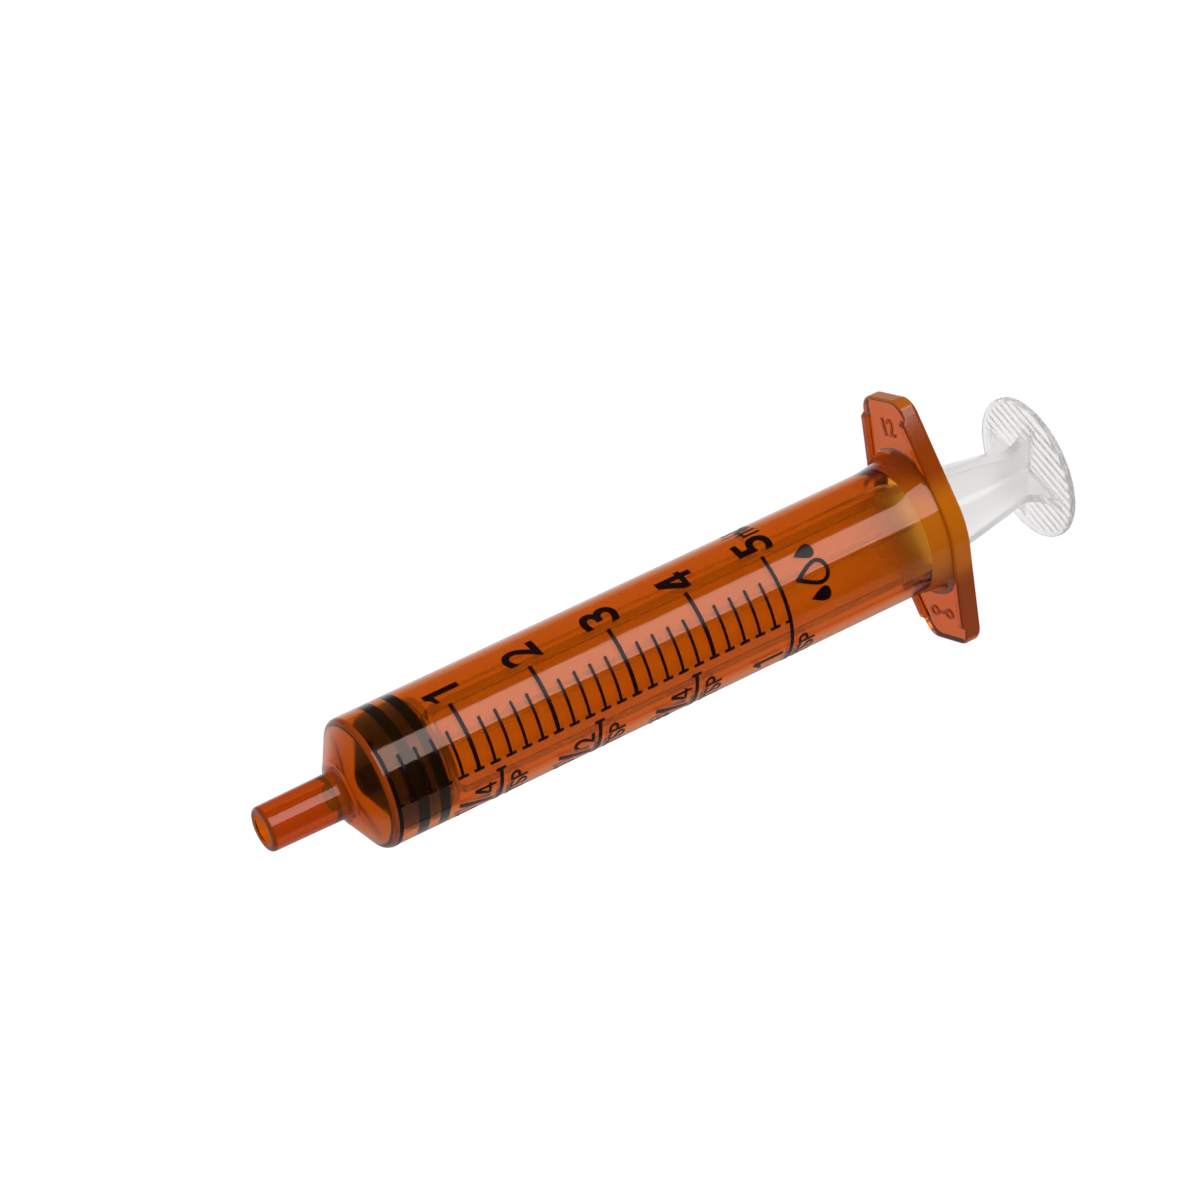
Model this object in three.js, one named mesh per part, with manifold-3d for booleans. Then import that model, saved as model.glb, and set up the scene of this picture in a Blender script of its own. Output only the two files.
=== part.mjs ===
// Oral syringe, 5 mL: an amber barrel with a winged finger flange, a rubber stopper
// and a clear plunger rod. Millimetres, +Z up, +X from the tip to the thumb disc,
// the wings of the flange along Y. The origin is the middle of the bounding box,
// on the surface that the syringe lies on.
import * as THREE from 'three';
import { mergeVertices } from 'three/addons/utils/BufferGeometryUtils.js';
import Module from 'manifold-3d';

const wasm = await Module();
wasm.setup();

// ---- driving dimensions. Stations along the axis are measured from the 0 mL line.
const BORE_R = 6.03;            // inside radius of the barrel
const BARREL_R = 6.61;          // outside radius of the barrel
const TIP_END = -11.15;         // open end of the oral tip
const TIP_R = 2.27;             // outside radius at the tip's end
const TIP_BASE_R = 2.35;        // outside radius where the tip meets the shoulder
const TIP_BORE_R = 1.45;        // bore of the tip
const FLANGE_FRONT = 62.81;     // front face of the finger flange
const FLANGE_REAR = 64.58;      // rear face of the finger flange
const RIM_FRONT = 62.44;        // front of the raised rims on the wings
const RIM_W = 1.0;              // width of a raised rim
const RIM_END_Y = 10.9;         // the rims stop short of the wing ends
const FLANGE_RC = 7.2;          // the flange's round middle
const WING_YC = 11.17;          // centre of each wing corner, along the wings
const WING_ZC = 2.08;           // centre of each wing corner, across the wings
const WING_RC = 1.82;           // radius of the wing corners
const GUSSET_S = 58.8;          // the tube starts to widen into the wings here
const STOP_RING_S = 61.2;       // snap ring that keeps the stopper in the barrel
const STOP_RING_R = 5.86;       // inside radius of the snap ring
const STOPPER_R = 5.98;         // sealing ribs of the stopper
const RIB_R = 5.72;             // ribs of the rod inside the barrel
const RIB_T = 1.1;              // thickness of a rib
const RIB_ANGLE = 33;           // turn of the ribs about the axis, degrees
const ROD_PLATE_S = 6.10;       // plate that pushes on the stopper
const ROD_PLATE_T = 0.9;        // thickness of that plate
const TAPER_S = 62.9;           // the ribs start to narrow here
const NECK_S = 73.55;           // narrowest place of the rod
const NECK_R = 3.5;
const DISC_FRONT = 76.26;       // front face of the thumb disc
const DISC_REAR = 77.10;        // rear face of the thumb disc
const DISC_R = 7.46;
const SEG = 48;                 // facets round the turned surfaces

const X_MID = (TIP_END + DISC_REAR) / 2;
const AXIS_Z = DISC_R * Math.cos(Math.PI / SEG);

// ---- helpers
const rad = (d) => (d * Math.PI) / 180;

function toManifold(geometry) {
  const g0 = geometry.index ? geometry.clone() : geometry.clone();
  g0.deleteAttribute('normal');
  g0.deleteAttribute('uv');
  const g = mergeVertices(g0, 1e-5);
  const pos = g.attributes.position;
  const src = g.index.array;
  const tri = [];
  let vol = 0;
  const a = new THREE.Vector3(), b = new THREE.Vector3(), c = new THREE.Vector3();
  for (let i = 0; i < src.length; i += 3) {
    const [p, q, r] = [src[i], src[i + 1], src[i + 2]];
    if (p === q || q === r || r === p) continue;
    tri.push(p, q, r);
    a.fromBufferAttribute(pos, p); b.fromBufferAttribute(pos, q); c.fromBufferAttribute(pos, r);
    vol += a.dot(b.cross(c)) / 6;
  }
  if (vol < 0) for (let i = 0; i < tri.length; i += 3) [tri[i + 1], tri[i + 2]] = [tri[i + 2], tri[i + 1]];
  return new wasm.Manifold(new wasm.Mesh({
    numProp: 3,
    vertProperties: new Float32Array(pos.array),
    triVerts: new Uint32Array(tri),
  }));
}

function toGeometry(m) {
  const mesh = m.getMesh();
  const g = new THREE.BufferGeometry();
  const p = new Float32Array((mesh.vertProperties.length / mesh.numProp) * 3);
  for (let i = 0; i < p.length / 3; i++)
    for (let k = 0; k < 3; k++) p[3 * i + k] = mesh.vertProperties[i * mesh.numProp + k];
  g.setAttribute('position', new THREE.BufferAttribute(p, 3));
  g.setIndex(new THREE.BufferAttribute(new Uint32Array(mesh.triVerts), 1));
  g.computeVertexNormals();
  return g;
}

// A turned solid about the X axis from [station, radius] points.
function turned(points, segments = SEG) {
  const g = new THREE.LatheGeometry(points.map(([s, r]) => new THREE.Vector2(r, s)), segments, Math.PI / segments);
  g.rotateZ(-Math.PI / 2);
  return toManifold(g);
}

// An outline in the Y-Z plane, extruded along X from station s0 to s1.
const TO_X = new THREE.Matrix4().makeBasis(
  new THREE.Vector3(0, 1, 0), new THREE.Vector3(0, 0, 1), new THREE.Vector3(1, 0, 0));
function platesAlongX(points, s0, s1) {
  const shape = new THREE.Shape(points.map(([y, z]) => new THREE.Vector2(y, z)));
  const g = new THREE.ExtrudeGeometry(shape, { depth: s1 - s0, bevelEnabled: false });
  g.applyMatrix4(TO_X);
  g.translate(s0, 0, 0);
  return toManifold(g);
}

// The flange's outline: a round middle joined by straight edges to rounded wing corners.
function flangeOutline(inset = 0) {
  const rc = FLANGE_RC - inset, re = Math.max(WING_RC - inset, 0.3);
  const d = Math.hypot(WING_YC, WING_ZC), t = Math.atan2(WING_ZC, WING_YC);
  const touch = t + Math.acos((rc - re) / d);        // direction of the straight edge's normal
  const quarter = [];
  for (let i = 0; i <= 5; i++) {                     // wing corner
    const a = (touch * i) / 5;
    quarter.push([WING_YC + re * Math.cos(a), WING_ZC + re * Math.sin(a)]);
  }
  const top = [];
  const span = Math.PI - 2 * touch;
  for (let i = 0; i <= 5; i++) {                     // round middle, odd facets: flat at the very edge
    const a = touch + (span * i) / 5;
    top.push([rc * Math.cos(a), rc * Math.sin(a)]);
  }
  const upper = [...quarter, ...top, ...quarter.map(([y, z]) => [-y, z]).reverse()];
  const lower = upper.map(([y, z]) => [-y, -z]);
  return [...upper, ...lower];
}

// ---- barrel: one moulding of tube, shoulder, oral tip and finger flange
function barrel() {
  const outer = [
    [TIP_END, 1.98], [TIP_END + 0.1, 2.17], [TIP_END + 0.3, TIP_R], [-3.55, TIP_BASE_R],
    [-3.2, 2.5], [-3.0, 2.85], [-0.71, 6.395], [-0.63, 6.5], [-0.5, 6.58], [-0.32, BARREL_R],
    [FLANGE_FRONT + 0.6, BARREL_R],
  ];
  const solid = turned([[TIP_END, 0], ...outer, [FLANGE_FRONT + 0.6, 0]]);

  const plate = platesAlongX(flangeOutline(), FLANGE_FRONT, FLANGE_REAR);
  // raised rims along the wings' long edges
  const rimBlock = platesAlongX(flangeOutline(), RIM_FRONT, FLANGE_FRONT + 0.3)
    .subtract(platesAlongX(flangeOutline(RIM_W), RIM_FRONT - 1, FLANGE_FRONT + 1));
  const short = platesAlongX([[RIM_END_Y, -9], [RIM_END_Y, 9], [-RIM_END_Y, 9], [-RIM_END_Y, -9]], RIM_FRONT - 1, FLANGE_FRONT + 1);
  const rims = rimBlock.intersect(short);
  // gussets where the tube runs into the wings: turned coves, kept inside the flange's outline
  const cove = [[GUSSET_S, BARREL_R - 0.1], [GUSSET_S, BARREL_R], [60.0, 6.72], [61.2, 6.92], [62.0, 7.12], [62.5, 7.36], [62.81, 7.75]];
  const flare = turned([[GUSSET_S, 0], ...cove, [63.2, 7.75], [63.2, 0]])
    .intersect(platesAlongX(flangeOutline(), GUSSET_S - 1, 64));

  const bore = turned([
    [TIP_END - 1, 0], [TIP_END - 1, 1.62], [TIP_END, 1.62], [TIP_END + 0.25, TIP_BORE_R], [-2.8, 1.35],
    [-2.7, 1.6], [-0.5, 5.85], [-0.3, BORE_R],
    [STOP_RING_S - 0.6, BORE_R], [STOP_RING_S - 0.2, STOP_RING_R], [STOP_RING_S + 0.2, STOP_RING_R], [STOP_RING_S + 0.6, BORE_R],
    [FLANGE_REAR - 0.45, BORE_R], [FLANGE_REAR, 6.4], [FLANGE_REAR + 1, 6.4], [FLANGE_REAR + 1, 0],
  ]);
  return solid.add(plate).add(rims).add(flare).subtract(bore);
}

// ---- stopper: rubber, two sealing ribs, a socket at the back for the rod's nose
function stopper() {
  return turned([
    [-0.75, 0], [-0.75, 0.9], [-0.6, 1.3], [1.5, 5.45], [1.62, 5.6], [1.78, 5.68], [2.0, STOPPER_R], [3.35, STOPPER_R],
    [3.6, 5.68], [4.15, 5.68], [4.35, STOPPER_R], [5.6, STOPPER_R], [5.75, 5.8],
    [5.75, 2.6], [4.1, 2.6], [3.9, 3.3], [2.0, 3.3], [1.2, 1.5], [1.1, 0],
  ]);
}

// ---- plunger rod: nose, pushing plate, cross-shaped ribs, neck and thumb disc
function rod() {
  const nose = turned([
    [1.6, 0], [1.65, 1.3], [2.35, 2.98], [3.6, 2.98], [3.8, 2.3], [ROD_PLATE_S, 2.3],
    [ROD_PLATE_S, 5.55], [ROD_PLATE_S + ROD_PLATE_T, 5.55], [ROD_PLATE_S + ROD_PLATE_T, 0],
  ]);
  const edge = [
    [ROD_PLATE_S + 0.45, RIB_R - 0.2], [ROD_PLATE_S + 1.3, RIB_R], [TAPER_S, RIB_R], [NECK_S - 1.6, NECK_R + 0.33],
    [NECK_S, NECK_R], [74.2, 3.62], [74.75, 3.95], [75.25, 4.4], [75.7, 5.0], [76.0, 5.6], [DISC_FRONT + 0.3, 6.3],
  ];
  const outline = [...edge, ...edge.slice().reverse().map(([s, r]) => [s, -r])];
  const shape = new THREE.Shape(outline.map(([s, r]) => new THREE.Vector2(s, r)));
  const web = (deg) => {
    const g = new THREE.ExtrudeGeometry(shape, { depth: RIB_T, bevelEnabled: false });
    g.translate(0, 0, -RIB_T / 2);
    g.rotateX(rad(deg));
    return toManifold(g);
  };
  const disc = turned([
    [DISC_FRONT, 0], [DISC_FRONT, DISC_R - 0.25], [DISC_FRONT + 0.22, DISC_R], [DISC_REAR - 0.22, DISC_R],
    [DISC_REAR, DISC_R - 0.25], [DISC_REAR, 0],
  ]);
  return nose.add(web(RIB_ANGLE)).add(web(RIB_ANGLE + 90)).add(disc);
}

// ---- assembly
const amber = new THREE.MeshStandardMaterial({ color: 0xb84a05, roughness: 0.22, metalness: 0 });
const clear = new THREE.MeshStandardMaterial({ color: 0xe1dedc, roughness: 0.3, metalness: 0 });
const rubber = new THREE.MeshStandardMaterial({ color: 0x151414, roughness: 0.6, metalness: 0 });

const syringe = new THREE.Group();
const plunger = new THREE.Group();
for (const [name, make, material, home] of [
  ['barrel', barrel, amber, syringe],
  ['plunger_stopper', stopper, rubber, plunger],
  ['plunger_rod', rod, clear, plunger],
]) {
  const mesh = new THREE.Mesh(toGeometry(make()), material);
  mesh.name = name;
  home.add(mesh);
}
syringe.add(plunger);
syringe.position.set(-X_MID, 0, AXIS_Z);

export default syringe;
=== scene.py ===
# Looks for a 5 mL oral syringe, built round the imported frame. Metres, the frame's own axes.
# Stations "s" run along +X in millimetres from the printed 0 mL line; angles run from +Y towards +Z.
import bpy, bmesh, math
import numpy as np
from mathutils import Matrix, Vector


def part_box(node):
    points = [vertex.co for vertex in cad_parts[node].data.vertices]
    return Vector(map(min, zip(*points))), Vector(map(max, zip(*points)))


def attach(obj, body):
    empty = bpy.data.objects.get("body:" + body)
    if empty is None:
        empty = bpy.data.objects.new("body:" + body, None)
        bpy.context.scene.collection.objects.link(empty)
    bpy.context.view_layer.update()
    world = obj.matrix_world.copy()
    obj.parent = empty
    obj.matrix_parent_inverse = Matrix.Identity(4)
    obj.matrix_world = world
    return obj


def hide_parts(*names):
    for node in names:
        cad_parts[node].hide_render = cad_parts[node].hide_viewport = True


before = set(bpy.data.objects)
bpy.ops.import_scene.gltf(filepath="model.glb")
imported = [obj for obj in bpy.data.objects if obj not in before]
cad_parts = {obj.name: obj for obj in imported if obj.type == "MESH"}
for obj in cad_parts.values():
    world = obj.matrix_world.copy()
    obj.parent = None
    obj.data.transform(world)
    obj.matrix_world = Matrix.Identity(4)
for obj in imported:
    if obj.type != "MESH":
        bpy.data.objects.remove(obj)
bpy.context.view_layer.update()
MM = 0.001

# ---------------------------------------------------------------- places, from the frame
TIP_END, DISC_REAR = -11.15, 77.10
b_lo, b_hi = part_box("barrel")
r_lo, r_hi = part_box("plunger_rod")
S0 = b_lo.x - TIP_END * MM                      # x of the 0 mL station
AXZ = (r_lo.z + r_hi.z) / 2                     # height of the axis
BARREL_R, BORE_R = 6.61, 6.03
DISC_R = (r_hi.z - r_lo.z) / 2 / MM             # as far as the frame's disc reaches


def place(s, y, z):
    return (S0 + s * MM, y * MM, AXZ + z * MM)


# ---------------------------------------------------------------- mesh helpers
def new_object(name, verts, faces, smooth=True):
    me = bpy.data.meshes.new(name)
    me.from_pydata([tuple(v) for v in verts], [], [tuple(int(i) for i in f) for f in faces])
    bm = bmesh.new()
    bm.from_mesh(me)
    bmesh.ops.remove_doubles(bm, verts=bm.verts, dist=1e-7)
    bmesh.ops.dissolve_degenerate(bm, edges=bm.edges, dist=1e-8)
    bmesh.ops.recalc_face_normals(bm, faces=bm.faces)
    bm.to_mesh(me)
    bm.free()
    me.polygons.foreach_set("use_smooth", [smooth] * len(me.polygons))
    ob = bpy.data.objects.new(name, me)
    bpy.context.scene.collection.objects.link(ob)
    return ob


def grid_faces(rows, cols, wrap_rows=False):
    f = []
    for i in range(rows if wrap_rows else rows - 1):
        a, b = i * cols, ((i + 1) % rows) * cols
        for j in range(cols):
            k = (j + 1) % cols
            f.append((a + j, a + k, b + k, b + j))
    return f


def loft(name, loops, closed_ring=False):
    """Loops of equal length, each an (n, 3) array in mm (s, y, z); capped at both ends unless it is a ring."""
    n = len(loops[0])
    verts = [place(*p) for lp in loops for p in lp]
    faces = grid_faces(len(loops), n, closed_ring)
    if not closed_ring:
        for k, base in ((0, 0), (-1, (len(loops) - 1) * n)):
            c = np.mean(np.asarray(loops[k]), axis=0)
            verts.append(place(*c))
            ci = len(verts) - 1
            faces += [(base + j, base + (j + 1) % n, ci) for j in range(n)]
    return new_object(name, verts, faces)


def arc(cs, cr, rad, a0, a1, n=5):
    """Points of a small arc in the (s, r) plane, degrees."""
    t = np.radians(np.linspace(a0, a1, n))
    return [(cs + rad * math.cos(x), cr + rad * math.sin(x)) for x in t]


def supported(pts, d=0.05, limit=0.6):
    """Adds a point close to each end of every long stretch, so that smooth shading stays on the curves."""
    out = [pts[0]]
    for p, q in zip(pts[:-1], pts[1:]):
        ds, dr = q[0] - p[0], q[1] - p[1]
        ln = math.hypot(ds, dr)
        if ln > limit:
            out += [(p[0] + ds * d / ln, p[1] + dr * d / ln), (q[0] - ds * d / ln, q[1] - dr * d / ln)]
        out.append(q)
    return out


def turned(name, pts, n=192, closed_ring=False):
    a = np.linspace(0, 2 * np.pi, n, endpoint=False)
    loops = [np.stack([np.full(n, s), r * np.cos(a), r * np.sin(a)], 1) for s, r in pts]
    return loft(name, loops, closed_ring)


def smooth01(x):
    x = np.clip(x, 0, 1)
    return x * x * (3 - 2 * x)


# ---------------------------------------------------------------- node helpers
def material(name):
    m = bpy.data.materials.new(name)
    m.use_nodes = True
    nt = m.node_tree
    nt.nodes.clear()
    out = nt.nodes.new("ShaderNodeOutputMaterial")
    bsdf = nt.nodes.new("ShaderNodeBsdfPrincipled")
    nt.links.new(bsdf.outputs[0], out.inputs["Surface"])
    return m, nt, bsdf, out


def noise(nt, scale, detail=4.0, rough=0.5, stretch=(1, 1, 1), distortion=0.0):
    co = nt.nodes.new("ShaderNodeTexCoord")
    mp = nt.nodes.new("ShaderNodeMapping")
    mp.inputs["Scale"].default_value = stretch
    nt.links.new(co.outputs["Object"], mp.inputs["Vector"])
    n = nt.nodes.new("ShaderNodeTexNoise")
    n.inputs["Scale"].default_value = scale
    n.inputs["Detail"].default_value = detail
    n.inputs["Roughness"].default_value = rough
    n.inputs["Distortion"].default_value = distortion
    nt.links.new(mp.outputs[0], n.inputs["Vector"])
    return n.outputs["Fac"]


def ramp(nt, fac, stops):
    r = nt.nodes.new("ShaderNodeValToRGB")
    els = r.color_ramp.elements
    els[0].position, els[0].color = stops[0][0], (*stops[0][1], 1)
    els[1].position, els[1].color = stops[-1][0], (*stops[-1][1], 1)
    for p, c in stops[1:-1]:
        e = els.new(p)
        e.color = (*c, 1)
    nt.links.new(fac, r.inputs["Fac"])
    return r.outputs["Color"]


def spread(nt, fac, lo, hi):
    r = nt.nodes.new("ShaderNodeMapRange")
    r.inputs["From Min"].default_value, r.inputs["From Max"].default_value = 0.3, 0.7
    r.inputs["To Min"].default_value, r.inputs["To Max"].default_value = lo, hi
    nt.links.new(fac, r.inputs["Value"])
    return r.outputs["Result"]


def bump(nt, bsdf, layers):
    """Height layers as (fac, strength, distance in metres), chained."""
    prev = None
    for fac, strength, dist in layers:
        b = nt.nodes.new("ShaderNodeBump")
        b.inputs["Strength"].default_value = strength
        b.inputs["Distance"].default_value = dist
        nt.links.new(fac, b.inputs["Height"])
        if prev is not None:
            nt.links.new(prev, b.inputs["Normal"])
        prev = b.outputs["Normal"]
    nt.links.new(prev, bsdf.inputs["Normal"])


def absorb(nt, out, colour, density):
    v = nt.nodes.new("ShaderNodeVolumeAbsorption")
    v.inputs["Color"].default_value = (*colour, 1)
    v.inputs["Density"].default_value = density
    nt.links.new(v.outputs[0], out.inputs["Volume"])


# ---------------------------------------------------------------- materials
def amber_plastic(name, clarity, tints, rough, lit_middle_tints=None):
    """One grade of the amber plastic: moulded edges are hazier, and the edge and rim grades also carry painted shade
    and light in their tints. The last argument gives the tints of the flange rim's middle, painted lighter orange where
    the light comes through.
    """
    m, nt, b, out = material(name)
    b.inputs["IOR"].default_value = 1.49
    b.inputs["Transmission Weight"].default_value = clarity
    b.inputs["Specular Tint"].default_value = (1.0, 0.81, 0.74, 1)
    drift = noise(nt, 55, 3, 0.55, (0.35, 1, 1))
    col = ramp(nt, drift, list(zip((0.3, 0.55, 0.75), tints)))
    if lit_middle_tints:
        # painted light and shade: the rim is painted deep red towards the wings, and lighter orange over the tube,
        # where it is thin to the light
        co, sep = nt.nodes.new("ShaderNodeTexCoord"), nt.nodes.new("ShaderNodeSeparateXYZ")
        nt.links.new(co.outputs["Object"], sep.inputs[0])
        side = nt.nodes.new("ShaderNodeMath")
        side.operation = "ABSOLUTE"
        nt.links.new(sep.outputs["Y"], side.inputs[0])
        far = nt.nodes.new("ShaderNodeMapRange")
        far.interpolation_type = "SMOOTHSTEP"
        far.inputs["From Min"].default_value, far.inputs["From Max"].default_value = 0.0030, 0.0062
        nt.links.new(side.outputs[0], far.inputs["Value"])
        both = nt.nodes.new("ShaderNodeMix")
        both.data_type = "RGBA"
        nt.links.new(far.outputs["Result"], both.inputs[0])
        nt.links.new(ramp(nt, drift, list(zip((0.3, 0.55, 0.75), lit_middle_tints))), both.inputs[6])
        nt.links.new(col, both.inputs[7])
        col = both.outputs[2]
    nt.links.new(col, b.inputs["Base Color"])
    nt.links.new(spread(nt, noise(nt, 260, 5, 0.6, (0.25, 1, 1)), *rough), b.inputs["Roughness"])
    bump(nt, b, [(noise(nt, 90, 3, 0.5, (0.3, 1, 1)), 0.12, 0.00004), (noise(nt, 3200, 3, 0.5), 0.10, 0.000006)])
    absorb(nt, out, (0.925, 0.62, 0.0), 2000.0)
    return m


def clear_plastic():
    m, nt, b, out = material("clear_polypropylene")
    b.inputs["IOR"].default_value = 1.49
    b.inputs["Transmission Weight"].default_value = 0.965
    drift = noise(nt, 70, 3, 0.5)
    col = ramp(nt, drift, [(0.3, (0.962, 0.95, 0.943)), (0.7, (0.982, 0.971, 0.965))])
    nt.links.new(col, b.inputs["Base Color"])
    co, sep, end, total = (nt.nodes.new("ShaderNode" + k) for k in ("TexCoord", "SeparateXYZ", "MapRange", "Math"))
    nt.links.new(co.outputs["Object"], sep.inputs[0])
    nt.links.new(sep.outputs["X"], end.inputs["Value"])
    for key, v in (("From Min", S0 + 0.0540), ("From Max", S0 + 0.0600), ("To Min", 0.0), ("To Max", 0.13)):
        end.inputs[key].default_value = v
    nt.links.new(end.outputs["Result"], total.inputs[0])
    nt.links.new(spread(nt, noise(nt, 420, 3, 0.5), 0.17, 0.22), total.inputs[1])
    nt.links.new(total.outputs[0], b.inputs["Roughness"])
    bump(nt, b, [(noise(nt, 150, 3, 0.5), 0.15, 0.00004), (noise(nt, 4200, 2, 0.5), 0.12, 0.000006)])
    absorb(nt, out, (0.80, 0.775, 0.775), 45.0)
    return m


def black_rubber():
    m, nt, b, out = material("black_rubber")
    col = ramp(nt, noise(nt, 300, 5, 0.6), [(0.3, (0.0025, 0.0022, 0.002)), (0.7, (0.0065, 0.006, 0.0055))])
    nt.links.new(col, b.inputs["Base Color"])
    nt.links.new(spread(nt, noise(nt, 700, 4, 0.6), 0.42, 0.56), b.inputs["Roughness"])
    b.inputs["Specular IOR Level"].default_value = 0.07
    bump(nt, b, [(noise(nt, 1500, 4, 0.6), 0.2, 0.00002)])
    return m


def ink():
    m, nt, b, out = material("scale_ink")
    col = ramp(nt, noise(nt, 900, 5, 0.6), [(0.3, (0.005, 0.0012, 0.001)), (0.7, (0.010, 0.0024, 0.002))])
    nt.links.new(col, b.inputs["Base Color"])
    nt.links.new(spread(nt, noise(nt, 1500, 4, 0.6), 0.16, 0.27), b.inputs["Roughness"])
    b.inputs["Specular IOR Level"].default_value = 0.16
    bump(nt, b, [(noise(nt, 2600, 3, 0.6), 0.25, 0.000008)])
    return m


TUBE_TINTS = ((0.785, 0.445, 0.09), (0.80, 0.46, 0.10), (0.815, 0.475, 0.11))
# The edge tints paint shade: a deeper red-brown than the plastic itself, for the shoulder's corner, the tip's end, the
# crease at the tip's root and the rim's wings.
EDGE_SHADE_TINTS = ((0.50, 0.075, 0.004), (0.54, 0.085, 0.005), (0.58, 0.098, 0.006))
AMBER = amber_plastic("amber_polypropylene", 0.995, TUBE_TINTS, (0.05, 0.10))
AMBER_NOSE = amber_plastic("amber_polypropylene_nose", 0.99, ((0.685, 0.375, 0.07), (0.70, 0.39, 0.075), (0.715, 0.405, 0.08)), (0.06, 0.11))
AMBER_TIP = amber_plastic("amber_polypropylene_tip", 0.86, ((0.675, 0.195, 0.012), (0.69, 0.205, 0.014), (0.705, 0.215, 0.016)), (0.06, 0.11))
AMBER_EDGE_SHADED = amber_plastic("amber_polypropylene_edge_shade", 0.55, EDGE_SHADE_TINTS, (0.10, 0.16))
AMBER_END = amber_plastic("amber_polypropylene_end", 0.6, ((0.80, 0.185, 0.02), (0.83, 0.205, 0.024), (0.86, 0.225, 0.028)), (0.05, 0.10))
# The rim grade paints shade and light: deep red towards the wings, lighter orange over the tube.
AMBER_RIM_LIGHT_AND_SHADE = amber_plastic("amber_polypropylene_rim_light_and_shade", 0.6, EDGE_SHADE_TINTS, (0.03, 0.06), ((0.90, 0.225, 0.006), (0.93, 0.245, 0.008), (0.95, 0.265, 0.01)))
CLEAR, RUBBER, INK = clear_plastic(), black_rubber(), ink()


def finish_piece(ob, mat, body, slot, *nodes):
    ob.data.materials.clear()
    ob.data.materials.append(mat)
    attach(ob, body)
    if nodes:
        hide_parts(*nodes)
    return ob


# ---------------------------------------------------------------- barrel
FL_FRONT, FL_REAR, RIM_F, RIM_W, RIM_END = 62.81, 64.58, 62.44, 1.0, 10.9
RC, WY, WZ, WR = 7.2, 11.17, 2.08, 1.82
TOUCH = math.atan2(WZ, WY) + math.acos((RC - WR) / math.hypot(WY, WZ))


def outline_radius(phi):
    """Where a ray from the axis at angle phi leaves the flange."""
    c, s = np.abs(np.cos(phi)), np.abs(np.sin(phi))
    edge = RC / (c * math.cos(TOUCH) + s * math.sin(TOUCH))            # straight long edge
    r = np.where(np.arctan2(s, c) > TOUCH, RC, edge)
    end = (WY + WR) / np.maximum(c, 1e-9)                              # straight wing end
    r = np.minimum(r, end)
    d = c * WY + s * WZ                                                # rounded corner
    disc = d * d - (WY * WY + WZ * WZ - WR * WR)
    corner = d + np.sqrt(np.maximum(disc, 0))
    py, pz = r * c, r * s
    inside = (py - WY) * math.sin(TOUCH) - (pz - WZ) * math.cos(TOUCH) > 0
    return np.where((disc > 0) & inside & (pz > WZ), corner, r)


def rim_mask(y, z):
    ay, az = np.abs(y), np.abs(z)
    rr = np.hypot(ay, az)
    d = np.where(np.arctan2(az, np.maximum(ay, 1e-9)) > TOUCH, RC - rr, RC - (ay * math.cos(TOUCH) + az * math.sin(TOUCH)))
    across = smooth01((RIM_W - d) / 0.16 + 0.5)
    return across * smooth01((RIM_END - ay) / 0.22 + 0.5)


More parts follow.
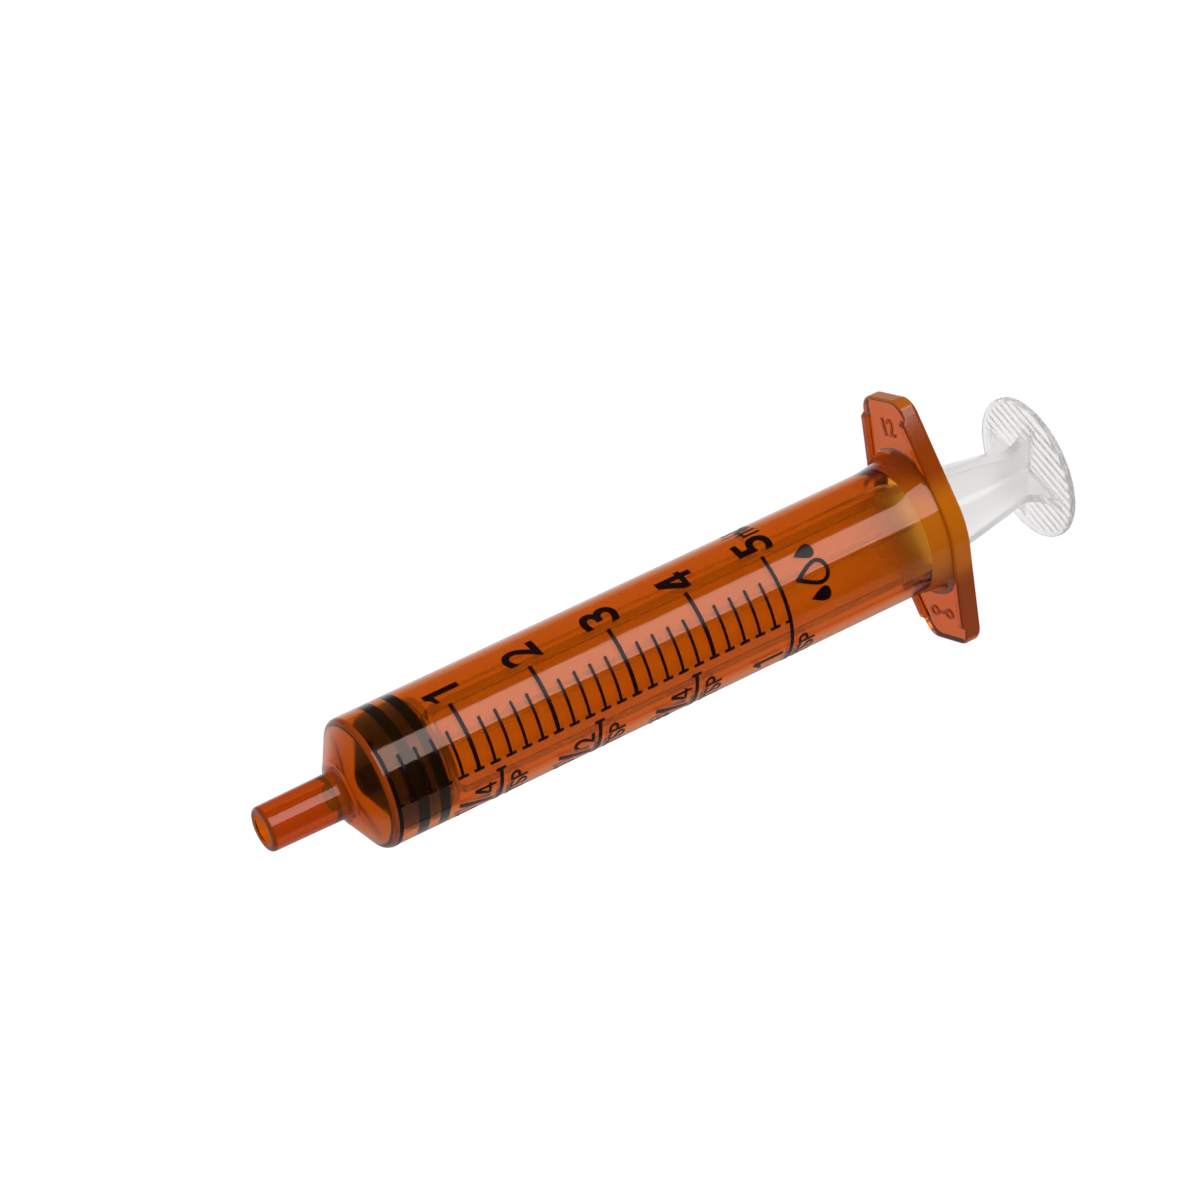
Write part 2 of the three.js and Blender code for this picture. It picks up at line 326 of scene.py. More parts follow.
def build_barrel():
    n = 480
    phi = np.linspace(0, 2 * np.pi, n, endpoint=False)
    rho = outline_radius(phi)
    cp, sp = np.cos(phi), np.sin(phi)
    loops = []

    def ring(s, r):
        s = np.broadcast_to(s, (n,)).astype(float)
        r = np.broadcast_to(r, (n,)).astype(float)
        loops.append(np.stack([s, r * cp, r * sp], 1))

    # tip: bore lip, end face, outside, shoulder, tube
    out = [(TIP_END + 0.28, 1.45)] + arc(TIP_END + 0.16, 1.62, 0.16, 270, 180, 5) + arc(TIP_END + 0.42, 1.85, 0.42, 180, 90, 9)
    out += [(-3.75, 2.35), (-3.5, 2.37), (-3.32, 2.44), (-3.18, 2.56), (-3.08, 2.70), (-2.98, 2.86),
            (-2.74, 3.24), (-2.70, 3.36), (-2.62, 3.42), (-0.745, 6.335),
            (-0.69, 6.41), (-0.62, 6.48), (-0.53, 6.54), (-0.43, 6.58), (-0.32, 6.602), (-0.2, BARREL_R), (58.7, BARREL_R)]
    for s, r in supported(out):
        ring(s, r)
    # gusset into the wings
    cove = [(58.8, 6.61), (59.5, 6.645), (60.2, 6.72), (60.9, 6.83), (61.5, 6.96), (62.0, 7.12), (62.35, 7.27),
            (62.6, 7.43), (62.75, 7.6), (62.81, 7.8)]
    r_g = np.minimum(7.8, rho - 0.32)
    for s, r in cove:
        ring(s, BARREL_R + (r - BARREL_R) * (r_g - BARREL_R) / (7.8 - BARREL_R))
    # front face with its raised rims
    e = 0.3
    for u in np.linspace(0, 1, 64)[1:]:
        r = r_g + (rho - e - r_g) * u
        ring(FL_FRONT - (FL_FRONT - RIM_F) * rim_mask(r * cp, r * sp), r)
    s_edge = FL_FRONT - (FL_FRONT - RIM_F) * rim_mask((rho - e) * cp, (rho - e) * sp)
    for a in (30, 60, 90):
        t = math.radians(a)
        ring(s_edge + e * (1 - math.cos(t)), rho - e + e * math.sin(t))
    ring(s_edge + e + 0.05, rho)
    q = 0.42
    ring(FL_REAR - q - 0.05, rho)
    for a in (0, 22, 45, 67, 90):
        t = math.radians(a)
        ring(FL_REAR - q + q * math.sin(t), rho - q + q * math.cos(t))
    for u in (0.03, 0.25, 0.5, 0.75, 0.97):
        ring(FL_REAR, (rho - q) + (6.62 - (rho - q)) * u)
    # mouth, snap ring, bore, inner cone, tip bore
    inner = arc(FL_REAR - 0.22, 6.62, 0.22, 0, -90, 1)[:0]
    inner += [(FL_REAR, 6.58), (FL_REAR - 0.06, 6.44), (FL_REAR - 0.18, 6.33), (FL_REAR - 0.45, 6.14), (FL_REAR - 0.75, 6.05), (FL_REAR - 1.0, BORE_R)]
    inner += [(61.95, BORE_R), (61.75, 6.01), (61.5, 5.93), (61.3, 5.875), (61.1, 5.86), (60.9, 5.885), (60.7, 5.95), (60.5, 6.01), (60.3, BORE_R)]
    inner += [(-0.15, BORE_R), (-0.3, 6.0), (-0.42, 5.94), (-0.52, 5.82), (-2.55, 1.78), (-2.68, 1.58), (-2.85, 1.44), (-3.1, 1.38), (TIP_END + 0.5, 1.44)]
    for s, r in supported(inner):
        ring(s, r)
    return loft("barrel_amber", loops, closed_ring=True)


# ---------------------------------------------------------------- stopper
def build_stopper():
    # the sealing ribs are squeezed against the bore, so they reach just into its surface
    seal = BORE_R + 0.012
    pts = [(-0.75, 0.02), (-0.75, 0.7), (-0.73, 0.95), (-0.65, 1.18), (-0.56, 1.38), (1.42, 5.3), (1.5, 5.44), (1.61, 5.56), (1.74, 5.65)]
    pts += [(1.84, 5.74), (1.92, 5.85), (1.99, 5.98), (2.08, seal), (3.24, seal), (3.36, 5.98), (3.46, 5.86), (3.58, 5.74), (3.72, 5.68)]
    pts += [(4.05, 5.68), (4.17, 5.75), (4.26, 5.88), (4.33, 5.98), (4.43, seal), (5.46, seal), (5.58, 5.99), (5.68, 5.92), (5.75, 5.78)]
    pts += [(5.75, 2.7), (5.71, 2.62), (5.6, 2.6), (4.15, 2.6), (4.03, 2.66), (3.9, 3.2), (3.8, 3.3), (2.1, 3.3), (1.98, 3.24), (1.26, 1.6), (1.16, 1.4), (1.1, 1.1), (1.1, 0.02)]
    return turned("stopper_rubber", supported(pts), 192)


# ---------------------------------------------------------------- plunger rod
RIB_H, RIB_ANGLE = 0.55, math.radians(33)


def cross_loop(s, big, h=RIB_H, f=0.35, e=0.16):
    """The cross-shaped section of the rod: big is the ribs' reach, h half their thickness."""
    quad = []
    quad += [(big, 0.0), (big, (h - e) * 0.6)]
    for a in np.radians(np.linspace(0, 90, 5)):
        quad.append((big - e + e * math.cos(a), h - e + e * math.sin(a)))
    x1, x2 = big - e, h + f
    for k in np.linspace(0, 1, 16)[1:-1]:
        a1, a2 = math.atan2(h, x1), math.atan2(h, x2)
        quad.append((h / math.tan(a1 + (a2 - a1) * k), h))
    for a in np.radians(np.linspace(-90, -135, 4)):
        quad.append((h + f + f * math.cos(a), h + f + f * math.sin(a)))
    half = quad + [(y, x) for x, y in quad[::-1]][1:]
    pts = []
    for k in range(4):
        c, sn = math.cos(k * math.pi / 2), math.sin(k * math.pi / 2)
        pts += [(x * c - y * sn, x * sn + y * c) for x, y in half[:-1]]
    p = np.array(pts)
    c, sn = math.cos(RIB_ANGLE), math.sin(RIB_ANGLE)
    p = p @ np.array([[c, sn], [-sn, c]])
    return np.column_stack([np.full(len(p), s), p])


REF = cross_loop(0, 5.7)
REF_A = np.arctan2(REF[:, 2], REF[:, 1])


def round_loop(s, r):
    return np.column_stack([np.full(len(REF_A), s), r * np.cos(REF_A), r * np.sin(REF_A)])


def build_rod():
    loops = []
    for s, r in supported([(1.6, 0.02), (1.6, 0.9), (1.63, 1.15), (1.72, 1.4), (2.28, 2.78), (2.38, 2.92), (2.52, 2.98), (3.5, 2.98), (3.6, 2.93),
                           (3.68, 2.8), (3.76, 2.42), (3.86, 2.32), (3.98, 2.3), (5.95, 2.3), (6.04, 2.34), (6.1, 2.45),
                           (6.1, 5.38), (6.14, 5.5), (6.25, 5.55), (6.85, 5.55), (6.96, 5.5), (7.0, 5.4)], 0.06, 0.5):
        loops.append(round_loop(s, r))
    first = cross_loop(7.0, 5.3, RIB_H + 0.22)
    rim = round_loop(7.0, 5.4)
    for u in (0.04, 0.3, 0.6, 0.9, 0.98):
        loops.append(rim * (1 - u) + first * u)
    for s, big, h in ((7.03, 5.31, RIB_H + 0.13), (7.1, 5.33, RIB_H + 0.05), (7.22, 5.4, RIB_H), (7.35, 5.6, RIB_H), (7.5, 5.7, RIB_H), (7.7, 5.72, RIB_H),
                      (30, 5.72, RIB_H), (62.5, 5.72, RIB_H), (62.9, 5.7, RIB_H), (63.4, 5.62, RIB_H), (67.5, 4.78, RIB_H), (71.6, 3.95, RIB_H),
                      (72.4, 3.74, RIB_H), (73.0, 3.59, RIB_H), (73.4, 3.52, RIB_H), (73.8, 3.52, RIB_H), (74.2, 3.63, RIB_H), (74.6, 3.85, RIB_H),
                      (74.95, 4.12, RIB_H), (75.25, 4.45, RIB_H), (75.5, 4.8, RIB_H), (75.72, 5.18, RIB_H), (75.9, 5.52, RIB_H + 0.02),
                      (76.05, 5.82, RIB_H + 0.06), (76.15, 6.02, RIB_H + 0.12), (76.22, 6.15, RIB_H + 0.2), (76.26, 6.22, RIB_H + 0.3)):
        loops.append(cross_loop(s, big, h))
    last = loops[-1]
    edge = round_loop(76.26, DISC_R - 0.3)
    for u in (0.03, 0.25, 0.5, 0.75, 0.97):
        loops.append(last * (1 - u) + edge * u)
    # rounded rim, then the thumb face with its fine parallel ridges
    c = 0.26
    for a in (0, 22, 45, 67, 90):
        t = math.radians(a)
        loops.append(round_loop(76.26 + c * (1 - math.cos(t)), DISC_R - c + c * math.sin(t)))
    for a in (0, 22, 45, 67, 90):
        t = math.radians(a)
        loops.append(round_loop(77.0 - c + c * math.sin(t), DISC_R - c + c * math.cos(t)))
    return thumb_face(loops)


def thumb_face(loops):
    """Closes the rod: the thumb face is a field of parallel ridges inside a plain edge."""
    n = len(loops[0])
    verts = [place(*p) for lp in loops for p in lp]
    faces = grid_faces(len(loops), n)
    centre = len(verts)
    verts.append(place(*np.mean(loops[0], axis=0)))
    faces += [(j, (j + 1) % n, centre) for j in range(n)]
    th = math.radians(RIDGE_ANGLE)
    rim = DISC_R - 0.42
    pitch, per = 1.02, 10
    vs = np.arange(-rim, rim + 1e-9, pitch / per)
    vs = np.concatenate([[-rim], [-rim + 0.01], vs[(vs > -rim + 0.03) & (vs < rim - 0.03)], [rim - 0.01], [rim]])
    ts = [1 - d / rim for d in (0, 0.05, 0.12, 0.2, 0.3, 0.45, 0.7)] + list(np.linspace(0.8, -0.8, 9))
    ts += [-(1 - d / rim) for d in (0.7, 0.45, 0.3, 0.2, 0.12, 0.05, 0)]
    base, m = len(verts), len(ts)
    for v in vs:
        half = math.sqrt(max(rim * rim - v * v, 0))
        w = (v / pitch) % 1.0
        ridge = 0.5 - 0.5 * math.cos(2 * math.pi * w)
        for tt in ts:
            u = tt * half
            edge = rim - math.hypot(u, v)
            fade = float(smooth01(edge / 0.3))
            s = 77.0 - 0.05 * fade + 0.125 * ridge * fade
            verts.append(place(s, v * math.cos(th) - u * math.sin(th), v * math.sin(th) + u * math.cos(th)))
    for i in range(len(vs) - 1):
        for j in range(m - 1):
            faces.append((base + i * m + j, base + i * m + j + 1, base + (i + 1) * m + j + 1, base + (i + 1) * m + j))
    # join the ridged field's outline to the rod's last loop, walking round both by angle
    inner = [base + i * m for i in range(len(vs))] + [base + i * m + m - 1 for i in range(len(vs) - 2, 0, -1)]
    outer = [(len(loops) - 1) * n + j for j in range(n)]

    def angle(i):
        return math.atan2(verts[i][2] - AXZ, verts[i][1]) % (2 * math.pi)

    def sort(ids):
        return sorted(ids, key=angle)

    inner, outer = sort(inner), sort(outer)
    i = j = 0
    while i < len(inner) or j < len(outer):
        ai = angle(inner[i]) if i < len(inner) else 99
        aj = angle(outer[j]) if j < len(outer) else 99
        p0, p1 = inner[i % len(inner)], outer[j % len(outer)]
        if ai <= aj:
            faces.append((p0, inner[(i + 1) % len(inner)], p1))
            i += 1
        else:
            faces.append((p1, p0, outer[(j + 1) % len(outer)]))
            j += 1
    return new_object("plunger_rod_clear", verts, faces)


RIDGE_ANGLE = 40.0

barrel = build_barrel()
finish_piece(barrel, AMBER, "barrel", "amber_plastic", "barrel")
for grade in (AMBER_NOSE, AMBER_EDGE_SHADED, AMBER_RIM_LIGHT_AND_SHADE, AMBER_TIP, AMBER_END):
    barrel.data.materials.append(grade)


def grade_at(c, nx):
    """Tube 0, shoulder 1, the shoulder's corner and the tip's end and root 2, painted darker as shade, flange rim and
    cove 3, painted as light and shade, tip 4, rim's underside and ends 5.
    """
    s, r = (c.x - S0) / MM, math.hypot(c.y, c.z - AXZ) / MM
    # Grade 3 carries the rim's painted shade and light, on the rim and on the cove except its underside.
    if s > RIM_F - 0.05:
        if r > 7.0 and abs(nx) < 0.95:
            return 5 if c.z < AXZ - 0.0003 or abs(c.y) > 0.0122 else 3
    if 60.2 < s < FL_FRONT - 0.03 and r > 6.62 and nx > -0.97 and c.z - AXZ > -0.35 * r * MM:
        return 3
    # Grade 2 is painted shade: these edges and the crease at the tip's root are coloured darker red.
    if (s < TIP_END + 0.4 and r > 1.6) or (-4.2 < s < -2.95 and r > 2.2) or (-0.78 < s < -0.2 and r > 6.25):
        return 2
    return 4 if s < -2.95 else 1 if s < -0.55 else 0


for f in barrel.data.polygons:
    f.material_index = grade_at(f.center, f.normal.x)
stopper = build_stopper()
finish_piece(stopper, RUBBER, "stopper", "black_rubber", "plunger_stopper")
rod = build_rod()
finish_piece(rod, CLEAR, "rod", "clear_plastic", "plunger_rod")

# ---------------------------------------------------------------- printed scale
INK_IN, INK_OUT = BARREL_R + 0.010, BARREL_R + 0.034
DEG = BARREL_R * math.pi / 180                  # mm of surface per degree


class Print:
    """Collects flat outlines on the unrolled surface (s, angle) and wraps them as thin closed ink."""

    def __init__(self):
        self.v, self.f = [], []

    def patch(self, s_lo, s_hi, a_lo, a_hi):
        """A rectangle of ink with clipped corners, stepped finely round the tube."""
        na = max(2, int(math.ceil((a_hi - a_lo) / 1.5)) + 1)
        base = len(self.v)
        c = min(0.05, (s_hi - s_lo) * 0.2)
        rows = []
        ang = list(np.linspace(a_lo, a_hi, na))
        ang = [a_lo, a_lo + 0.05 / DEG] + ang[1:-1] + [a_hi - 0.05 / DEG, a_hi]
        for i, a in enumerate(ang):
            k = c if i in (0, len(ang) - 1) else 0.0
            t = math.radians(a)
            for s, r in ((s_lo + k, INK_IN), (s_hi - k, INK_IN), (s_hi - k, INK_OUT), (s_lo + k, INK_OUT)):
                rows.append((s, r * math.cos(t), r * math.sin(t)))
        self.v += rows
        m = len(ang)
        for i in range(m - 1):
            for j in range(4):
                k = (j + 1) % 4
                self.f.append((base + 4 * i + j, base + 4 * i + k, base + 4 * (i + 1) + k, base + 4 * (i + 1) + j))
        self.f.append(tuple(base + j for j in range(4)))
        self.f.append(tuple(base + 4 * (m - 1) + j for j in range(4)))

    def flat(self, bm, to_sa):
        """A flat triangulated outline in bm, mapped by to_sa(x, y) -> (s, angle)."""
        base = len(self.v)
        bm.verts.ensure_lookup_table()
        nv = len(bm.verts)
        for r in (INK_IN, INK_OUT):
            for v in bm.verts:
                s, a = to_sa(v.co.x, v.co.y)
                t = math.radians(a)
                self.v.append((s, r * math.cos(t), r * math.sin(t)))
        for f in bm.faces:
            ids = [v.index for v in f.verts]
            self.f.append(tuple(base + i for i in ids))
            self.f.append(tuple(base + nv + i for i in ids[::-1]))
        for e in bm.edges:
            if len(e.link_faces) == 1:
                lp = e.link_loops[0]
                a, b = lp.vert.index, lp.link_loop_next.vert.index
                self.f.append((base + b, base + a, base + nv + a, base + nv + b))

    def text(self, word, s_top, s_base, a_left, a_right, bold=0.0):
        """word fills the rectangle exactly. Its top points to the tip and it reads towards smaller angles."""
        bm = text_mesh(word, bold)
        xs = [v.co.x for v in bm.verts]
        ys = [v.co.y for v in bm.verts]
        x0, x1, y0, y1 = min(xs), max(xs), min(ys), max(ys)
        kx = (a_left - a_right) / (x1 - x0)
        step = 1.6 / kx                                           # slices of 1.6 degrees, so that it bends round the tube
        x = x0 + step
        while x < x1:
            bmesh.ops.bisect_plane(bm, geom=bm.verts[:] + bm.edges[:] + bm.faces[:], plane_co=(x, 0, 0), plane_no=(1, 0, 0), dist=1e-6)
            x += step
        bm.verts.index_update()
        self.flat(bm, lambda px, py: (s_base - (py - y0) / (y1 - y0) * (s_base - s_top), a_left - (px - x0) * kx))
        bm.free()

    def shape(self, pts, to_sa, step=0.1):
        """A filled outline given as (x, y) points, sliced across x so that it bends round the tube."""
        bm = bmesh.new()
        bm.faces.new([bm.verts.new((x, y, 0)) for x, y in pts])
        bmesh.ops.triangulate(bm, faces=bm.faces)
        xs = [v.co.x for v in bm.verts]
        for x in np.arange(min(xs) + step, max(xs) - 1e-4, step):
            bmesh.ops.bisect_plane(bm, geom=bm.verts[:] + bm.edges[:] + bm.faces[:], plane_co=(x, 0, 0), plane_no=(1, 0, 0), dist=1e-6)
        bm.verts.index_update()
        self.flat(bm, to_sa)
        bm.free()

    def one(self, s_top, s_base, a_left, a_right, stem=0.44):
        """The figure one: a plain stem with a short flag."""
        pts = [(1 - stem + 0.05, 1), (1, 1), (1, 0), (1 - stem, 0), (1 - stem, 0.745), (0.0, 0.69), (0.0, 0.805), (0.3, 0.855), (0.48, 0.925)]
        self.shape(pts, lambda x, y: (s_base - y * (s_base - s_top), a_left - x * (a_left - a_right)))

    def four(self, s_top, s_base, a_left, a_right, stem=0.28, bar=0.155):
        """The figure four, its counter left open."""
        x0, x1, y0 = 0.84 - stem, 0.84, 0.225
        y1 = y0 + bar
        slope = (1 - y1 - 0.02) / (x0 - 0.02)
        left = 0.0 + stem * 1.12
        parts = [[(0.0, y0), (x0, y0), (x0, y1), (left, y1), (x0, y1 + (x0 - left) * slope), (x0, 1.0), (x0 - 0.07, 1.0), (0.0, y1 + 0.03)],
                 [(x0, 0.0), (x1, 0.0), (x1, 1.0), (x0, 1.0)], [(x1, y0), (1.0, y0), (1.0, y1), (x1, y1)]]
        for pts in parts:
            self.shape(pts, lambda x, y: (s_base - y * (s_base - s_top), a_left - x * (a_left - a_right)))

    def outline(self, pts, width):
        """A closed line of ink through (s, angle) points, width in mm."""
        p = np.array([(s, a * DEG) for s, a in pts])
        nxt, prv = np.roll(p, -1, 0), np.roll(p, 1, 0)
        t = nxt - prv
        t /= np.linalg.norm(t, axis=1)[:, None]
        nrm = np.stack([-t[:, 1], t[:, 0]], 1)
        base, m = len(self.v), len(p)
        for q in zip(p - nrm * width / 2, p + nrm * width / 2):
            for w, r in ((q[0], INK_IN), (q[1], INK_IN), (q[1], INK_OUT), (q[0], INK_OUT)):
                a = math.radians(w[1] / DEG)
                self.v.append((w[0], r * math.cos(a), r * math.sin(a)))
        for i in range(m):
            n2 = (i + 1) % m
            for j in range(4):
                k = (j + 1) % 4
                self.f.append((base + 4 * i + j, base + 4 * i + k, base + 4 * n2 + k, base + 4 * n2 + j))

    def make(self, name):
        me = bpy.data.meshes.new(name)
        me.from_pydata([place(*v) for v in self.v], [], self.f)
        bm = bmesh.new()
        bm.from_mesh(me)
        bmesh.ops.recalc_face_normals(bm, faces=bm.faces)
        bm.to_mesh(me)
        bm.free()
        ob = bpy.data.objects.new(name, me)
        bpy.context.scene.collection.objects.link(ob)
        return finish_piece(ob, INK, "barrel", "scale_ink")


def text_mesh(word, bold=0.0, res=6):
    cu = bpy.data.curves.new("t", "FONT")
    cu.body, cu.size, cu.resolution_u, cu.offset = word, 1.0, res, bold
    tmp = bpy.data.objects.new("t", cu)
    bpy.context.scene.collection.objects.link(tmp)
    bpy.context.view_layer.update()
    me = bpy.data.meshes.new_from_object(tmp.evaluated_get(bpy.context.evaluated_depsgraph_get()))
    bpy.data.objects.remove(tmp)
    bpy.data.curves.remove(cu)
    bm = bmesh.new()
    bm.from_mesh(me)
    bpy.data.meshes.remove(me)
    bmesh.ops.remove_doubles(bm, verts=bm.verts, dist=1e-5)
    bmesh.ops.triangulate(bm, faces=bm.faces)
    return bm


ML = 8.757
SERIF_A, MINOR_A, MAJOR_A, HORIZON_A = 101.7, 61.0, 41.0, 168.0

ticks = Print()
for i in range(1, 25):
    s, major = i * 0.2 * ML, i % 5 == 0
    w = 0.215 if major else 0.155
    ticks.patch(s - w, s + w, MAJOR_A if major else MINOR_A, SERIF_A)
    ticks.patch(s - 0.56, s + 0.56, SERIF_A - 1.4, SERIF_A + 1.4)
ticks.patch(-0.2, 0.2, MAJOR_A, HORIZON_A)
ticks.patch(0.15, 0.56, SERIF_A - 1.4, SERIF_A + 1.4)
ticks.patch(5 * ML - 0.2, 5 * ML + 0.2, MAJOR_A, HORIZON_A)
ticks.patch(5 * ML - 0.56, 5 * ML - 0.15, SERIF_A - 1.4, SERIF_A + 1.4)
for q in (1.25, 2.5, 3.75):
    ticks.patch(q * ML - 0.2, q * ML + 0.2, 110.4, HORIZON_A)
    ticks.patch(q * ML - 0.55, q * ML + 0.55, 109.0, 111.8)
ticks.make("scale_ticks")

numbers = Print()
for i in range(1, 6):
    s = i * ML
    if i == 1:
        numbers.one(s - 1.85, s + 1.95, 36.2, 23.2)
    elif i == 4:
        numbers.four(s - 1.95, s + 1.95, 37.2, 15.8)
    else:
        numbers.text(str(i), s - 1.95, s + 1.95, 36.8, 16.2, 0.022)
numbers.text("m", 5 * ML + 0.05, 5 * ML + 1.95, 13.3, -5.5, 0.004)
numbers.text("L", 5 * ML - 0.95, 5 * ML + 1.95, -9.0, -20.0, 0.004)
numbers.make("scale_numbers")

spoons = Print()
for q, top, low in ((1.25, "1", "4"), (2.5, "1", "2"), (3.75, "3", "4")):
    s = q * ML
    if low == "4":
        spoons.four(s - 2.95, s - 0.62, 132.4, 119.2, 0.22, 0.13)
    else:
        spoons.text(low, s - 2.95, s - 0.62, 132.0, 119.6, 0.012)
    if top == "1":
        spoons.one(s - 4.75, s - 2.45, 157.0, 149.0, 0.4)
    else:
        spoons.text(top, s - 4.75, s - 2.45, 159.0, 147.5, 0.012)
    spoons.text("/", s - 4.6, s - 0.75, 149.0, 129.5, 0.006)
    spoons.text("TSP", s + 0.95, s + 2.9, 158.5, 119.6, 0.012)
s = 5 * ML
spoons.one(s - 4.4, s - 0.95, 142.0, 131.5, 0.4)
spoons.text("TSP", s + 0.75, s + 2.7, 160.0, 121.0, 0.012)
spoons.make("teaspoon_scale")

drops = Print()


def droplet(s_mid, a_mid, k):
    """A plain liquid-drop outline, its point towards the tip."""
    pts = []
    for t in np.linspace(0, 2 * np.pi, 56, endpoint=False):
        x, y = math.sin(t) * math.sin(t / 2) ** 1.6, math.cos(t)
        pts.append((s_mid - y * k, a_mid + x * k * 0.92 / DEG))
    return pts


drops.outline(droplet(47.45, 73.0, 1.7), 0.42)
for a in (92.5, 53.5):
    drops.shape([(x, y) for y, x in droplet(47.6, a, 1.15)], lambda x, y: (y, x), 1.6)
drops.make("droplet_mark")


# ---------------------------------------------------------------- moulded marks on the wings
def moulded(name, word, y_mid, z_mid, high, wide, bold=0.0):
    """Raised letters on the flange's front face: they read towards +Z, with their tops towards +Y."""
    bm = text_mesh(word, bold)
    xs = [v.co.x for v in bm.verts]
    ys = [v.co.y for v in bm.verts]
    x0, x1, y0, y1 = min(xs), max(xs), min(ys), max(ys)
    verts, faces = [], []
    bm.verts.index_update()
    nv = len(bm.verts)
    for s in (FL_FRONT + 0.03, FL_FRONT - 0.13):
        for v in bm.verts:
            verts.append(place(s, y_mid + ((v.co.y - y0) / (y1 - y0) - 0.5) * high, z_mid + ((v.co.x - x0) / (x1 - x0) - 0.5) * wide))
    for f in bm.faces:
        ids = [v.index for v in f.verts]
        faces.append(tuple(ids))
        faces.append(tuple(nv + i for i in ids[::-1]))
    for e in bm.edges:
        if len(e.link_faces) == 1:
            lp = e.link_loops[0]
            a, b = lp.vert.index, lp.link_loop_next.vert.index
            faces.append((b, a, nv + a, nv + b))
    bm.free()
    ob = new_object(name, verts, faces, smooth=False)
    # The letters take the edge grade, whose darker red is painted shade.
    return finish_piece(ob, AMBER_EDGE_SHADED, "barrel", "amber_plastic")


moulded("mould_number", "12", 10.05, 0.35, 1.9, 2.0, 0.012)
moulded("mould_marks", "o-o", -9.75, 0.35, 1.1, 4.2, 0.012)

# ---------------------------------------------------------------- floor, light, camera
fl, n = 3.0, 2
me = bpy.data.meshes.new("floor")
me.from_pydata([(-fl, -fl, -0.1), (fl, -fl, -0.1), (fl, fl, -0.1), (-fl, fl, -0.1)], [], [(0, 1, 2, 3)])
floor = bpy.data.objects.new("floor", me)
bpy.context.scene.collection.objects.link(floor)
def mirrored(tree, path):
    """One for light mirrored off a surface, nought for light that came through it: both count as glossy."""
    d = tree.nodes.new("ShaderNodeMath")
    d.operation, d.use_clamp = "SUBTRACT", True
    tree.links.new(path.outputs["Is Glossy Ray"], d.inputs[0])
    tree.links.new(path.outputs["Is Transmission Ray"], d.inputs[1])
    return d.outputs[0]


# the floor is plain white to the eye and through the plastic; what the gloss picks up of it is the studio's own falloff
fm, nt, b, out = material("pale_floor")
b.inputs["Base Color"].default_value = (0.02, 0.02, 0.02, 1)
b.inputs["Roughness"].default_value = 0.9
b.inputs["Specular IOR Level"].default_value = 0.0
b.inputs["Emission Color"].default_value = (1, 1, 1, 1)
co = nt.nodes.new("ShaderNodeTexCoord")
sep = nt.nodes.new("ShaderNodeSeparateXYZ")
nt.links.new(co.outputs["Object"], sep.inputs[0])
rng = nt.nodes.new("ShaderNodeMapRange")
rng.inputs["From Min"].default_value, rng.inputs["From Max"].default_value = -0.2, 0.4
nt.links.new(sep.outputs["Y"], rng.inputs["Value"])
fall = ramp(nt, rng.outputs["Result"], [(p, (v, v, v)) for p, v in ((0.0, 0.42), (0.135, 0.42), (0.222, 0.34), (0.275, 0.4), (0.3, 0.55), (0.335, 0.9), (0.36, 0.9), (0.4, 0.5), (0.433, 0.24), (0.464, 0.08), (0.565, 0.04), (0.783, 0.01))])
lp = nt.nodes.new("ShaderNodeLightPath")
mx = nt.nodes.new("ShaderNodeMix")
mx.data_type = "FLOAT"
nt.links.new(mirrored(nt, lp), mx.inputs[0])
mx.inputs[2].default_value = 1.0
far = nt.nodes.new("ShaderNodeMath")
far.operation = "ABSOLUTE"
nt.links.new(sep.outputs["X"], far.inputs[0])
side = nt.nodes.new("ShaderNodeMapRange")
for key, v in (("From Min", 0.25), ("From Max", 0.5), ("To Min", 1.0), ("To Max", 0.02)):
    side.inputs[key].default_value = v
nt.links.new(far.outputs[0], side.inputs["Value"])
both = nt.nodes.new("ShaderNodeMath")
both.operation = "MULTIPLY"
nt.links.new(fall, both.inputs[0])
nt.links.new(side.outputs["Result"], both.inputs[1])
nt.links.new(both.outputs[0], mx.inputs[3])
nt.links.new(mx.outputs[0], b.inputs["Emission Strength"])
me.materials.append(fm)

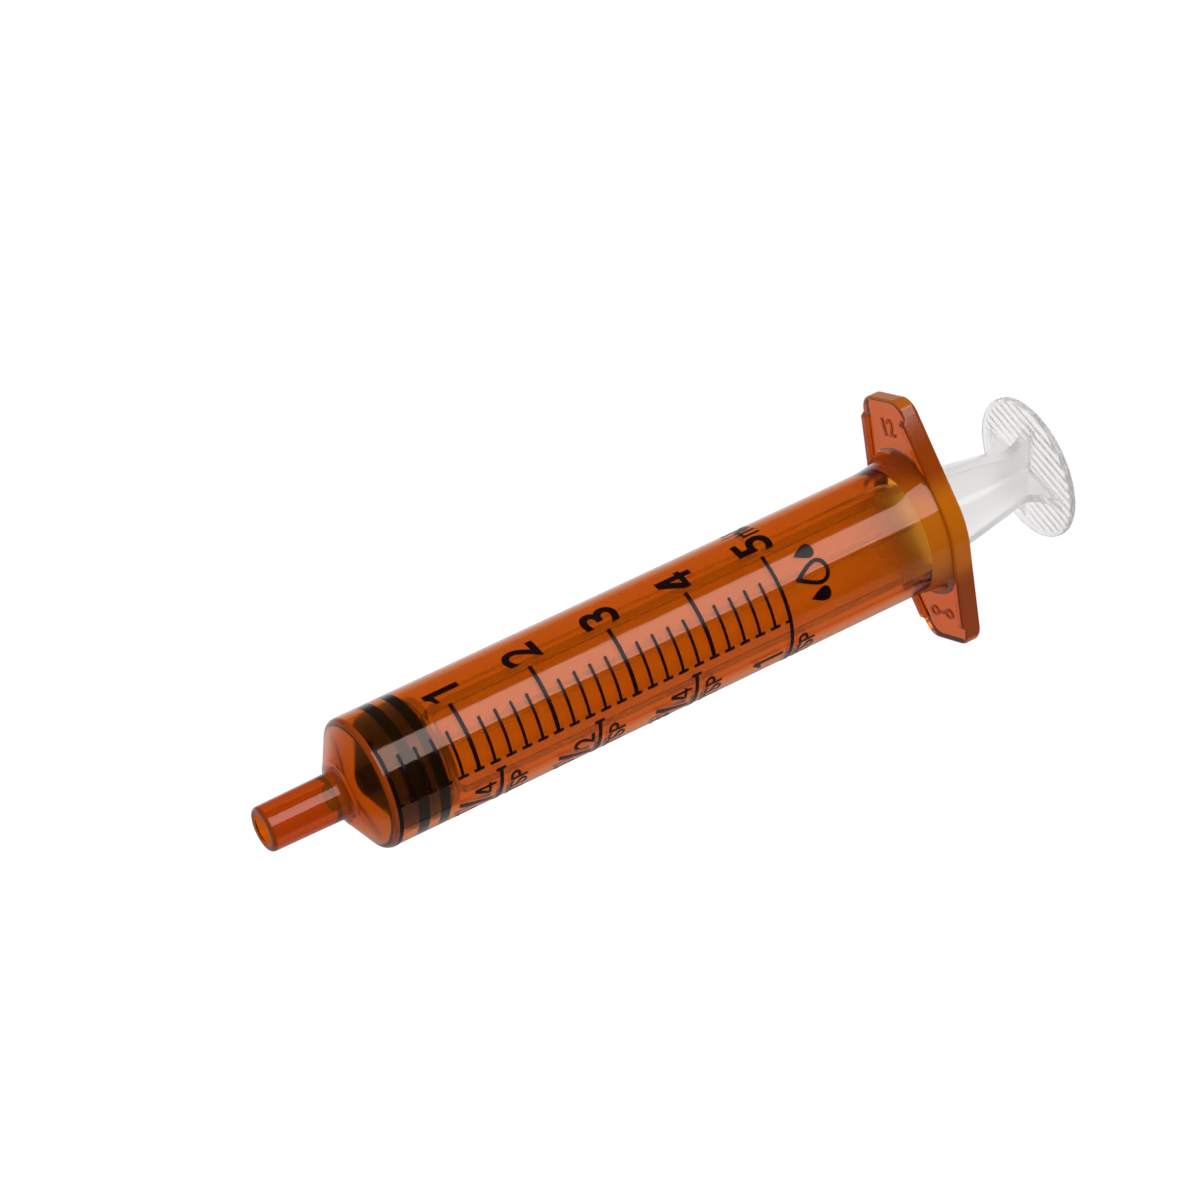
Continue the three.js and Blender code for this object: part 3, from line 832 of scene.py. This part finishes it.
world = bpy.data.worlds.new("studio")
bpy.context.scene.world = world
world.use_nodes = True
wn = world.node_tree
wn.nodes.clear()
wo = wn.nodes.new("ShaderNodeOutputWorld")
lp = wn.nodes.new("ShaderNodeLightPath")
level = {}
for key, strength in (("pale", 1.0), ("dim", 0.5), ("dark", 0.012)):
    level[key] = wn.nodes.new("ShaderNodeBackground")
    level[key].inputs["Color"].default_value = (1, 1, 1, 1)
    level[key].inputs["Strength"].default_value = strength
for_gloss, for_all = wn.nodes.new("ShaderNodeMixShader"), wn.nodes.new("ShaderNodeMixShader")
wn.links.new(mirrored(wn, lp), for_gloss.inputs[0])
wn.links.new(level["pale"].outputs[0], for_gloss.inputs[1])
wn.links.new(level["dark"].outputs[0], for_gloss.inputs[2])
wn.links.new(lp.outputs["Is Diffuse Ray"], for_all.inputs[0])
wn.links.new(for_gloss.outputs[0], for_all.inputs[1])
wn.links.new(level["dim"].outputs[0], for_all.inputs[2])
wn.links.new(for_all.outputs[0], wo.inputs[0])


def softbox(name, centre, look, along, width, length, watts):
    li = bpy.data.lights.new(name, "AREA")
    li.shape, li.size, li.size_y, li.energy = "RECTANGLE", length, width, watts
    ob = bpy.data.objects.new(name, li)
    bpy.context.scene.collection.objects.link(ob)
    z = -(Vector(look)).normalized()
    x = Vector(along).normalized()
    y = z.cross(x).normalized()
    x = y.cross(z).normalized()
    m = Matrix((x, y, z)).transposed().to_4x4()
    m.translation = Vector(centre)
    ob.matrix_world = m
    return ob


# one long softbox above and behind, whose reflection is the broad band along the barrel
D, BAND = 0.5, math.radians(51.9)
u = Vector((0, math.cos(BAND), math.sin(BAND)))
softbox("key", u * D + Vector((0.19, 0, AXZ)), -u, (1, 0, 0), 0.378, 0.62, 2.9)

# a weak card on the other side, from the horizon to half way up
CARD = math.radians(158)
u = Vector((0, math.cos(CARD), math.sin(CARD)))
softbox("card", u * 0.6 + Vector((0.1, 0, AXZ)), -u, (1, 0, 0), 0.52, 1.0, 0.42)

cam = bpy.data.cameras.new("camera")
cam.lens, cam.sensor_width = 150.0, 36.0
cam.clip_start, cam.clip_end = 0.01, 20.0
cam_ob = bpy.data.objects.new("camera", cam)
bpy.context.scene.collection.objects.link(cam_ob)
rows = ((0.839632, 0.3929046, -0.3750254), (-0.2869669, 0.9071158, 0.3078814), (0.4611595, -0.1508872, 0.8743941))
m = Matrix(rows).to_4x4()
m.translation = Vector((-0.182874, 0.152694, 0.423015)) + m.to_3x3() @ Vector((-0.00005, 0.00004, 0))
cam_ob.matrix_world = m
bpy.context.scene.camera = cam_ob
bpy.context.scene.view_settings.view_transform = "Standard"
